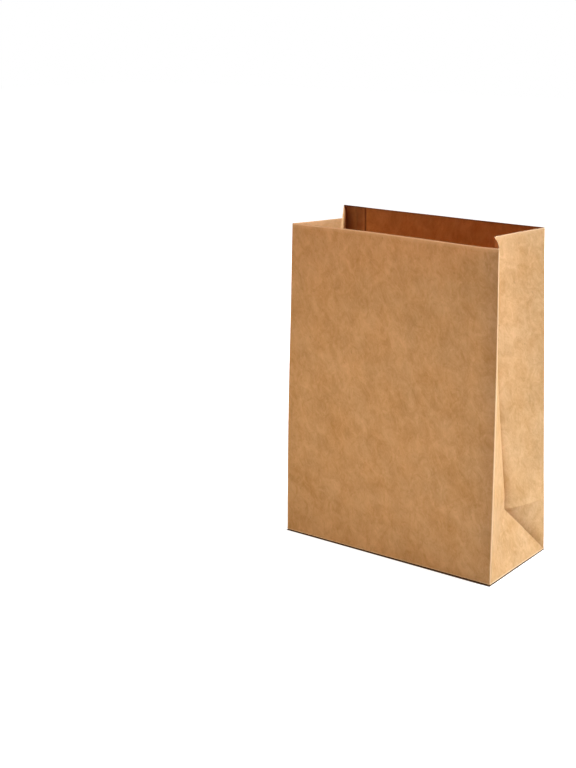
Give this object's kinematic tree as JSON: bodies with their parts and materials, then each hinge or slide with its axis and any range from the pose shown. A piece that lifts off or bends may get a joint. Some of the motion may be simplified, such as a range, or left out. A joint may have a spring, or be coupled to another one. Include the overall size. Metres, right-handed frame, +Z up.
{
  "type": "paper lunch bag",
  "caption": "Brown kraft paper lunch bag standing open, with a flat folded base, side gussets folded inwards and a straight cut mouth.",
  "frame": {"origin": "centre of the folded base, on the surface that the bag stands on", "axes": "+Z up to the mouth, +Y towards the back panel with the glued seam, -Y towards the plain front panel, X along the width"},
  "size_m": [0.2117, 0.0974, 0.2806],
  "materials": {
    "kraft_paper": "uncoated brown kraft paper, matt"
  },
  "bodies": {
    "root": {"paper_bag": "kraft_paper"}
  },
  "joints": []
}
